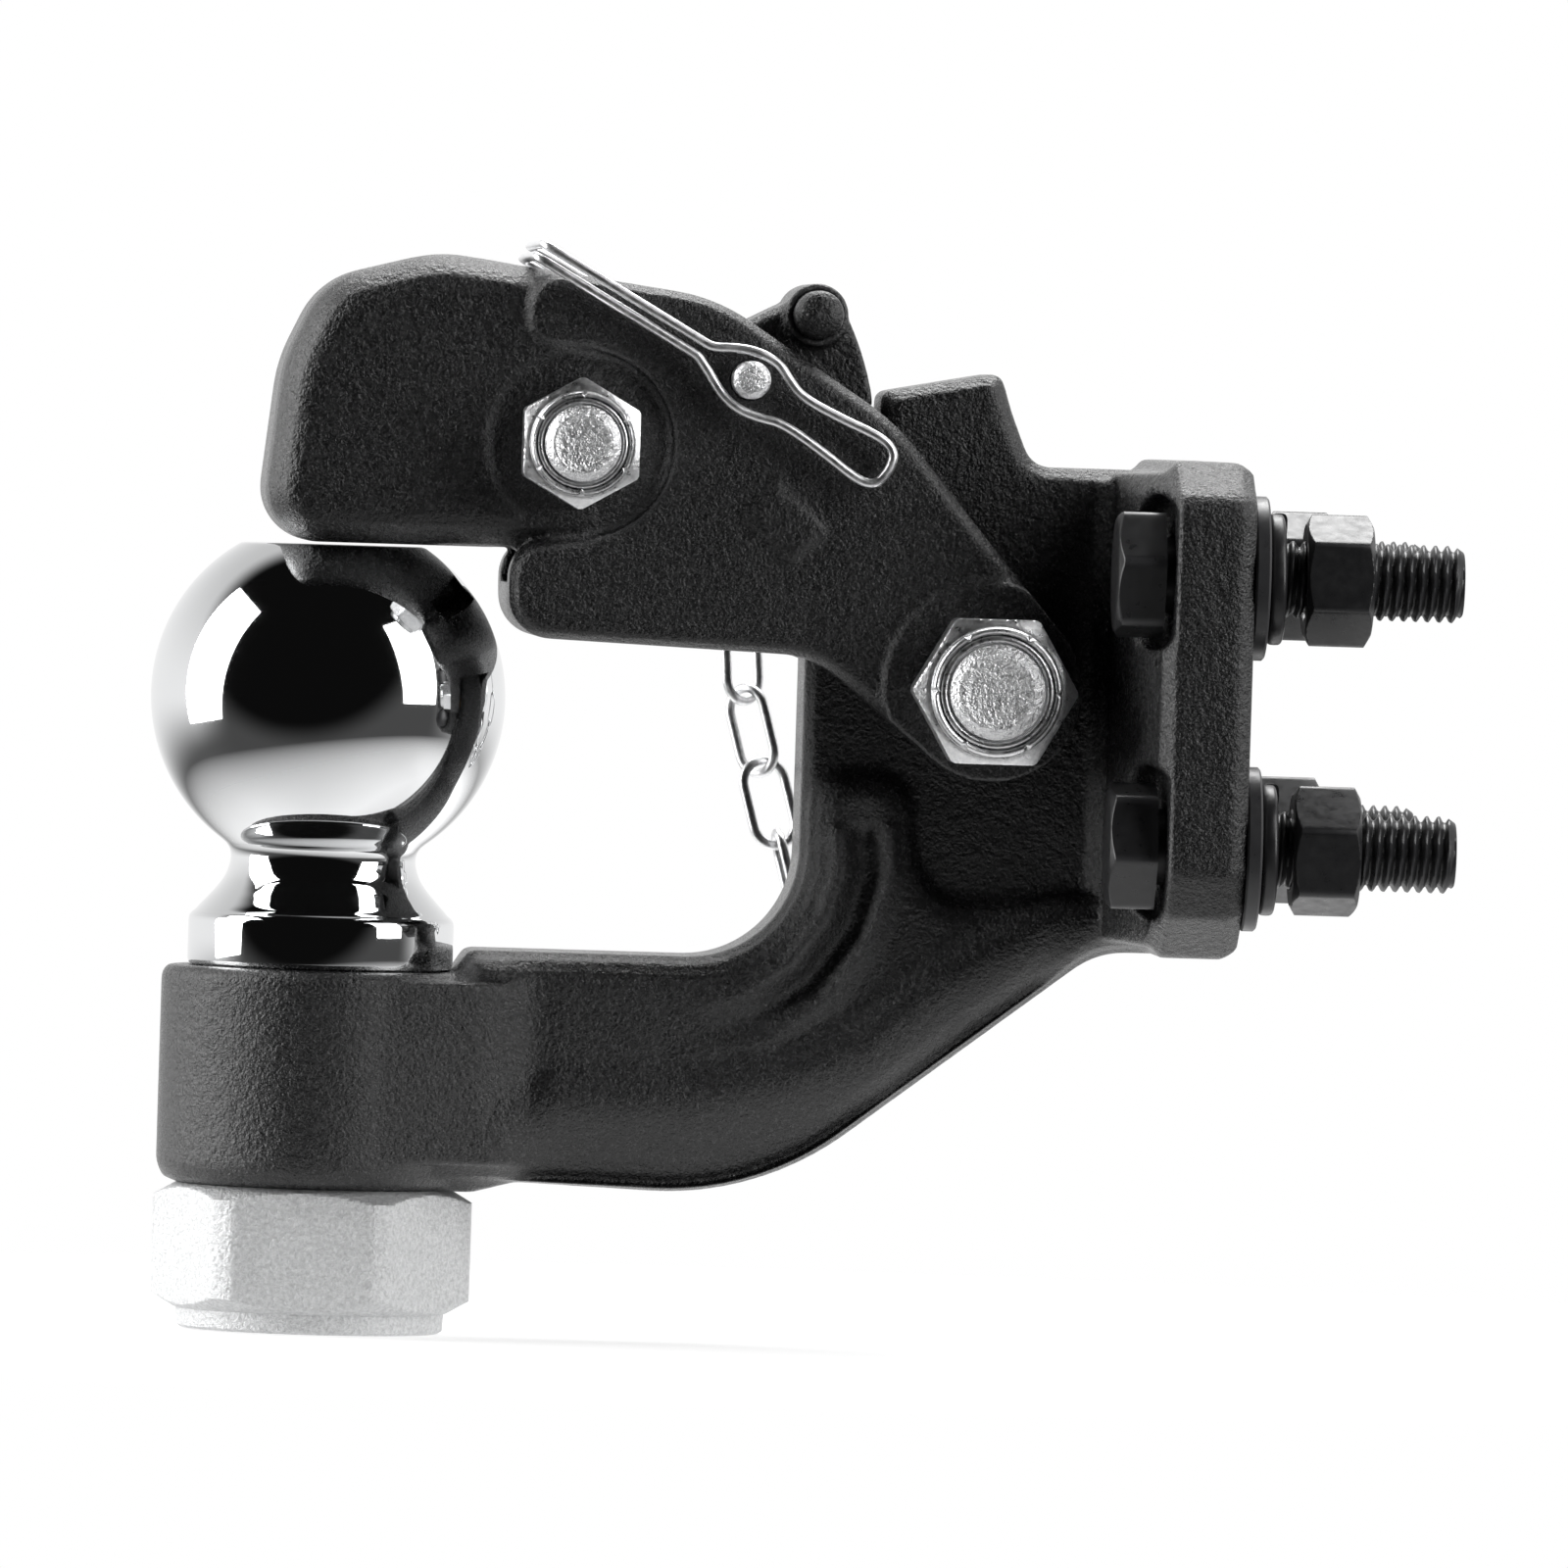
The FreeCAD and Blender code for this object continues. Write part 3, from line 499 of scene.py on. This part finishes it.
def ball_lock_nut():
    """Hexagon nut under the arm, on a round collar with a stepped bore."""
    low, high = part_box("ball_nut")
    foot = low[2] - BALL.z + BALL_NUT_COLLAR
    head = high[2] - BALL.z
    bore = 15.92 * MM
    collar = [(foot - 3.35 * MM, 21.4 * MM), (foot - 2.9 * MM, 22.1 * MM), (foot - 0.05 * MM, 22.3 * MM)]
    hexagon = hex_rows(foot, head, BALL_NUT_ACROSS, math.radians(54), soft=0.962)
    inner = [(head, bore), (foot - 1.6 * MM, bore), (foot - 2.4 * MM, 18.9 * MM),
             (foot - 3.35 * MM, 19.2 * MM)]
    nut = ring_skin("ball_lock_nut", collar + hexagon + inner, "z", BALL, 180)
    return finish_piece(nut, "hook", MATTE, ("ball_nut",), smooth=28)


ball = polar("ball_chromed", ball_rows(), "z", BALL, 256)
finish_piece(ball, "hook", CHROME, ("hitch_ball",), smooth=32)
ball_lock_nut()


# ---------------------------------------------------------------- zinc nuts and bolts of the jaw
def collar_nut(name, node, across, phase, at, bolt_r):
    """Lock nut on the near side, its collar outward: two rolled lips with a groove between, the outer one
    crimped."""
    low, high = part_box(node)
    face = -high[1]
    tip = -low[1]
    tall = tip - face
    collar_r = across * 0.452
    bore = bolt_r * 1.03
    wall = collar_r - bore

    def crimp(r):
        return lambda w: r - 0.45 * MM * max(0.0, math.cos(6 * (w - phase))) ** 60

    def roll(outer, inner, top, depth, crimped):
        """Rows over a rounded lip, from its outer foot to its inner foot."""
        made = []
        for i in range(11):
            w = math.pi * i / 10
            r = (outer + inner) / 2 + (outer - inner) / 2 * math.cos(w)
            made.append((top - depth * (1 - math.sin(w)), crimp(r) if crimped and i < 7 else r))
        return made
    rows = hex_rows(face, face + 0.74 * tall, across, phase, chamfer_low=False)
    rows += [(face + 0.75 * tall, collar_r + 0.05 * MM)]
    rows += roll(collar_r, collar_r - 0.52 * wall, tip, 1.1 * MM, True)
    rows += roll(collar_r - 0.56 * wall, bore, tip - 0.1 * MM, 0.5 * MM, False)
    rows += [(tip - 2.0 * MM, bore), (face, bore)]
    nut = ring_skin(name, rows, "-y", Vector((at.x, 0, at.z)), 240)
    return finish_piece(nut, "jaw", ZINC, (node,), smooth=26)


# A bolt's cropped, slightly dished end: (distance from its tip in mm, share of its radius).
DISHED_END = [(0.3, 0.05), (0.28, 0.5), (0.18, 0.66), (0.0, 0.72), (0.06, 0.78), (0.3, 0.83), (1.2, 0.985),
              (1.6, 1.0)]


def through_bolt(name, node, across, phase, at, radius, head_tall):
    """Bolt with its head on the far side and a cropped end at the nut."""
    low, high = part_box(node)
    face = high[1] - head_tall
    rows = [(low[1] + inward * MM, radius * share) for inward, share in DISHED_END]
    rows += [(face - 0.01 * MM, radius)] + hex_rows(face, high[1], across, phase, chamfer_low=False)
    bolt = polar(name, rows, "y", Vector((at.x, 0, at.z)), 160)
    return finish_piece(bolt, "jaw", ZINC_END, (node,), smooth=28)


collar_nut("jaw_lock_nut", "jaw_pivot_nut", JAW_BOLT_ACROSS, 0.0, MAIN, JAW_BOLT_R)
collar_nut("pawl_lock_nut", "pawl_nut", PAWL_BOLT_ACROSS, math.radians(30), PAWL, PAWL_BOLT_R)
through_bolt("jaw_bolt", "jaw_pivot_bolt", JAW_BOLT_ACROSS, 0.0, MAIN, JAW_BOLT_R, JAW_BOLT_HEAD)
through_bolt("pawl_pivot_bolt", "pawl_bolt", PAWL_BOLT_ACROSS, math.radians(30), PAWL, PAWL_BOLT_R,
             PAWL_BOLT_HEAD)

# ---------------------------------------------------------------- mounting hardware
low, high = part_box("mounting_bolts")
HEAD_X = low[0]
END_X = high[0]
NUT_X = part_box("mounting_nuts")[0][0]


def threaded_bolt(name, y, z, phase):
    """Hexagon bolt with a rolled UNC thread on its free end."""
    start = NUT_X - 4.0 * MM
    rows = hex_rows(HEAD_X, HEAD_X + BOLT_HEAD, BOLT_ACROSS, phase, chamfer_high=False)
    rows += [(HEAD_X + BOLT_HEAD + 0.01 * MM, BOLT_SHANK_R), (start, BOLT_SHANK_R)]
    x = start
    while x < END_X - 0.02 * MM:
        taper = max(0.0, 1.0 - (END_X - x) / (1.6 * MM)) * 1.1 * MM

        def reach(w, here=x, taper=taper):
            turn = (here / PITCH + w / (2 * math.pi)) % 1.0
            crest = abs(turn - 0.5) * 2
            cut = THREAD_DEPTH * max(0.0, min(1.0, 1.35 - 1.7 * crest))
            run_in = min(1.0, (here - start) / (2 * PITCH))
            return min(BOLT_R - 0.02 * MM - cut * run_in, BOLT_R - taper)
        rows.append((x, reach))
        x += PITCH / 8
    rows.append((END_X, BOLT_R - 1.2 * MM))
    bolt = polar(name, rows, "x", Vector((0, y, z)), 96)
    return finish_piece(bolt, "hook", OXIDE, ("mounting_bolts",), smooth=45)


def plain_nut(name, face, y, z, phase):
    """Hexagon nut with a countersunk bore; face is where its near face stands along X."""
    bore, mouth, sink = 6.42 * MM, 6.75 * MM, 0.6 * MM
    end = face + NUT_TALL
    inner = [(end, mouth), (end - sink, bore), (face + sink, bore), (face, mouth)]
    nut = ring_skin(name, hex_rows(face, end, BOLT_ACROSS, phase) + inner, "x", Vector((0, y, z)), 144)
    return finish_piece(nut, "hook", OXIDE, ("mounting_nuts",), smooth=30)


def flat_washer(name, y, z):
    """Flat washer against the flange, its outer edges just rounded off."""
    inner, outer, thick, edge = 6.9 * MM, 13.5 * MM, WASHER_THICK, 0.35 * MM
    rows = [(0.0, inner), (0.0, outer - edge), (edge, outer), (thick - edge, outer), (thick, outer - edge),
            (thick, inner)]
    washer = ring_skin(name, rows, "x", Vector((0, y, z)), 96)
    return finish_piece(washer, "hook", OXIDE, ("flat_washers",), smooth=35)


def split_washer(name, y, z):
    """Spring washer: a rounded square section that runs almost once round, a little further along the bolt at
    one end than at the other."""
    steps, points = 90, 24
    middle_r, half_wide, half_thick, square = 8.8 * MM, 2.05 * MM, 1.35 * MM, 0.55
    section = []
    for i in range(points):
        w = 2 * math.pi * i / points
        c = math.copysign(abs(math.cos(w)) ** square, math.cos(w))
        s = math.copysign(abs(math.sin(w)) ** square, math.sin(w))
        section.append((c * half_wide, s * half_thick))
    verts = []
    for j in range(steps + 1):
        w = math.radians(100) + (2 * math.pi - math.radians(7)) * j / steps
        rise = WASHER_THICK + 1.4 * MM + 0.55 * MM * j / steps
        for dr, dx in section:
            r = middle_r + dr
            verts.append((rise + dx, y + r * math.cos(w), z + r * math.sin(w)))
    faces = []
    for j in range(steps):
        faces += band(j, j + 1, points)
    faces.append(tuple(reversed(range(points))))
    faces.append(tuple(range(steps * points, (steps + 1) * points)))
    washer = new_mesh(name, verts, faces)
    return finish_piece(washer, "hook", OXIDE, ("lock_washers",), smooth=50)


for side in (-1, 1):
    for row in (-1, 1):
        upper = row > 0
        label = ("near" if side < 0 else "far") + ("_upper" if upper else "_lower")
        y, z = side * ROW_Y, row * ROW_Z
        nut_face = WASHERS_THICK + (UPPER_NUT_GAP if upper else LOWER_NUT_GAP)
        threaded_bolt("bolt_" + label, y, z, math.radians(18 if upper else 42))
        plain_nut("nut_" + label, nut_face, y, z, math.radians(56 if upper else 11))
        flat_washer("washer_" + label, y, z)
        split_washer("split_washer_" + label, y, z)

# ---------------------------------------------------------------- pin, bail and bar
BAIL_TOP = Vector((32.2, 0, 74.6)) * MM + Vector((BALL.x, 0, BALL.z))
BAIL_RUN = Vector((PIN.x, 0, PIN.z)) - BAIL_TOP
ALONG = BAIL_RUN.normalized()
ACROSS = Vector((-ALONG.z, 0, ALONG.x))
# In mm: half the bail's width over the jaw, and half the distance between its two strands.
SIDE = 30.0
BAIL_HALF = 1.2
# The two strands past the pin on the near side: (distance past the pin, distance off the bail's line), in mm.
BAIL_UPPER = [(27.0, -0.1), (26.4, 2.1), (23.6, 3.2), (16.0, 2.3), (8.6, 1.9), (5.0, 3.4), (2.6, 4.7),
              (-1.2, 4.6), (-5.0, 3.2), (-8.0, 1.3)]
BAIL_LOWER = [(27.0, -1.7), (26.4, -4.0), (23.6, -4.9), (16.0, -3.9), (8.0, -3.4), (4.6, -4.6), (0.7, -5.3),
              (-3.0, -4.6), (-6.6, -2.6), (-9.4, -1.3)]
# One side of the eye round the pin on the far side.
BAIL_EYE = [(-8.0, 1.2), (-4.0, 3.6), (-1.6, 4.5), (1.6, 4.5), (4.0, 2.6), (4.9, 0.4)]


def clip(s, v, y):
    """A point on the bail, in metres: s along it from its top bend, v across it, y along the pin (in mm)."""
    p = BAIL_TOP + (ALONG * s + ACROSS * v) * MM
    return Vector((p.x, y * MM, p.z))


def bail_strand(near, side):
    """One strand, from the middle of the near loop over the jaw to the middle of the far eye."""
    span = BAIL_RUN.length / MM
    off = side * BAIL_HALF
    points = [clip(span + s, v, -SIDE) for s, v in near]
    points += [clip(30.0, off, -SIDE), clip(8.0, off, -SIDE), clip(1.0, off, -SIDE)]
    points += [clip(-0.6, off, -SIDE + 1.2), clip(-0.6, off, -SIDE + 6.0)]
    points += [clip(-0.6, off, SIDE - 6.0), clip(-0.6, off, SIDE - 1.2)]
    points += [clip(1.0, off, SIDE), clip(8.0, off, SIDE), clip(30.0, off, SIDE)]
    return points + [clip(span + s, side * v, SIDE) for s, v in BAIL_EYE]


path = bail_strand(BAIL_UPPER, 1) + list(reversed(bail_strand(BAIL_LOWER, -1)))
bail = wire("bail_wire", path, BAIL_WIRE_R, "pin", WIRE, closed=True)
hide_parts("wire_bail")


def locking_pin():
    """Pin with a rounded near end and a flat round head on the far side."""
    low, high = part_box("safety_pin")
    near_end = [(0.0, 0.05), (0.0, 0.60), (0.15, 0.75), (0.9, 0.97), (1.5, 1.0)]
    far_head = [(1.61, PIN_R), (1.6, 5.2 * MM), (1.2, 5.6 * MM), (0.5, 5.6 * MM), (0.0, 4.9 * MM),
                (0.0, 0.2 * MM)]
    rows = [(low[1] + inward * MM, PIN_R * share) for inward, share in near_end]
    rows += [(high[1] - inward * MM, r) for inward, r in far_head]
    pin = polar("locking_pin", rows, "y", Vector((PIN.x, 0, PIN.z)), 72)
    return finish_piece(pin, "pin", ZINC_END, ("safety_pin",), smooth=35)


def rounded_end(y, way):
    """Rows that close a bar with a low dome."""
    tall, full, rings = 2.2 * MM, 0.8, 12
    rows = []
    for i in range(rings + 1):
        w = math.pi / 2 * i / rings
        rows.append((y + way * tall * (1 - math.cos(w)), max(0.1 * MM, BAR_R * math.sin(w) ** full)))
    return rows


locking_pin()
low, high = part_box("lift_bar")
bar_rows = rounded_end(low[1], 1) + list(reversed(rounded_end(high[1], -1)))
bar = polar("pawl_cross_bar", bar_rows, "y", Vector((BAR.x, 0, BAR.z)), 72)
finish_piece(bar, "pawl", POWDER, ("lift_bar",), smooth=50)

# ---------------------------------------------------------------- CAD nodes that stay
KEPT = {
    "ball_nut_insert": NYLON, "jaw_nut_insert": NYLON, "pawl_nut_insert": NYLON, "pivot_bush": BRONZE,
    "pawl_spring": SPRING, "chain_ring": WIRE, "chain_upper": WIRE, "chain_middle": WIRE, "chain_lower": WIRE,
    "anchor_ring": WIRE, "chain_anchor_screw": ZINC,
}
for name, material in KEPT.items():
    node = nodes[name]
    node.data.materials.clear()
    node.data.materials.append(material)

# ---------------------------------------------------------------- floor, light and camera
MIDDLE = BALL + Vector((76.1, 0.0, -12.2)) * MM  # point in the middle of the picture
FLOOR_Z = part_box("ball_nut")[0][2] - 0.2 * MM
FLOOR_HALF = 0.3
FLOOR_BACK = 0.04  # the sheet's middle lies this far behind the part
FADE_FROM, FADE_TO = 0.09, 0.27
FLOOR_GLOW = 0.7


def paper_floor():
    """Pale sheet under the ball nut that takes its shadow and fades out all round."""
    mesh = bpy.data.meshes.new("floor")
    bm = bmesh.new()
    bmesh.ops.create_grid(bm, x_segments=2, y_segments=2, size=FLOOR_HALF)
    bm.to_mesh(mesh)
    bm.free()
    floor = bpy.data.objects.new("floor", mesh)
    floor.location = (MIDDLE.x, MIDDLE.y + FLOOR_BACK, FLOOR_Z)
    scene.collection.objects.link(floor)
    paper = Mat("paper_floor", 0.9, specular=0.1)
    paper.set("Base Color", paper.mix(paper.noise(8.0, 2.0), (0.40, 0.40, 0.40), (0.42, 0.42, 0.42)))
    length = paper.tree.nodes.new("ShaderNodeVectorMath")
    length.operation = "LENGTH"
    paper.tree.links.new(paper.place, length.inputs[0])
    paper.set("Alpha", paper.ramp(length.outputs["Value"], FADE_FROM, FADE_TO, 1.0, 0.0))
    paper.shader.inputs["Emission Color"].default_value = (1.0, 1.0, 1.0, 1.0)
    paper.shader.inputs["Emission Strength"].default_value = FLOOR_GLOW
    mesh.materials.append(paper.mat)


# The studio's brightness at the horizon, and then (axis, where a change starts and ends along it, new level).
HORIZON = 0.92
REGIONS = [
    ((0.0, 0.0, 1.0), 0.0, 0.8, 0.6),  # overhead
    ((0.0, 0.0, -1.0), 0.02, 0.45, 0.1),  # below the horizon
    ((0.0, -1.0, 0.0), -0.25, 0.35, 0.07),  # the viewer's side
    ((-0.25, -0.69, 0.68), 0.22, 0.52, 0.004),  # dark opening high in front
]


def studio_world():
    """Pale studio whose side toward the viewer is dim. Seen directly, it is white."""
    world = bpy.data.worlds.new("studio")
    world.use_nodes = True
    tree = world.node_tree
    way = tree.nodes.new("ShaderNodeTexCoord").outputs["Generated"]

    def facing(axis, low, high):
        dot = tree.nodes.new("ShaderNodeVectorMath")
        dot.operation = "DOT_PRODUCT"
        dot.inputs[1].default_value = axis
        tree.links.new(way, dot.inputs[0])
        step = tree.nodes.new("ShaderNodeMapRange")
        step.interpolation_type = "SMOOTHSTEP"
        step.inputs["From Min"].default_value = low
        step.inputs["From Max"].default_value = high
        tree.links.new(dot.outputs["Value"], step.inputs["Value"])
        return step.outputs["Result"]

    def mix(value, a, level):
        node = tree.nodes.new("ShaderNodeMix")
        node.data_type = "RGBA"
        if isinstance(a, float):
            node.inputs[6].default_value = (a, a, a, 1.0)
        else:
            tree.links.new(a, node.inputs[6])
        node.inputs[7].default_value = (level, level, level, 1.0)
        tree.links.new(value, node.inputs[0])
        return node.outputs[2]

    light = HORIZON
    for axis, low, high, level in REGIONS:
        light = mix(facing(axis, low, high), light, level)
    seen = tree.nodes.new("ShaderNodeLightPath").outputs["Is Camera Ray"]
    tree.links.new(mix(seen, light, 1.0), tree.nodes["Background"].inputs["Color"])
    scene.world = world


# (name, width, height, place from the middle, watts)
LAMPS = [
    ("key_left", 0.5, 1.0, (-0.86, 0.0, 0.27), 11.5),
    ("soft_right", 0.42, 0.8, (0.66, -0.42, 0.34), 5.6),
    ("back_top", 0.7, 0.5, (0.1, 0.5, 0.8), 9.0),
]


def softbox(name, width, height, offset, watts):
    """Soft rectangular lamp aimed at the middle of the part."""
    data = bpy.data.lights.new(name, "AREA")
    data.shape = "RECTANGLE"
    data.size = width
    data.size_y = height
    data.energy = watts
    lamp = bpy.data.objects.new(name, data)
    lamp.location = MIDDLE + Vector(offset)
    lamp.rotation_euler = (MIDDLE - lamp.location).to_track_quat("-Z", "Y").to_euler()
    scene.collection.objects.link(lamp)


paper_floor()
studio_world()
for lamp_row in LAMPS:
    softbox(*lamp_row)

DISTANCE = 3.5
VIEW_WIDTH = 0.2603  # width seen at that distance
SENSOR = 36.0
YAW = math.radians(3.0)
RISE = math.radians(1.0)
ROLL = math.radians(1.8)
way = Vector((-math.sin(YAW) * math.cos(RISE), -math.cos(YAW) * math.cos(RISE), math.sin(RISE)))
lens = bpy.data.cameras.new("camera")
lens.sensor_width = SENSOR
lens.lens = SENSOR * DISTANCE / VIEW_WIDTH
lens.clip_start = 0.05
lens.clip_end = 60.0
camera = bpy.data.objects.new("camera", lens)
camera.location = MIDDLE + way * DISTANCE
look = (-way).to_track_quat("-Z", "Y").to_matrix().to_4x4()
camera.rotation_euler = (look @ Matrix.Rotation(ROLL, 4, "Z")).to_euler()
scene.collection.objects.link(camera)
scene.camera = camera
scene.view_settings.view_transform = "Standard"
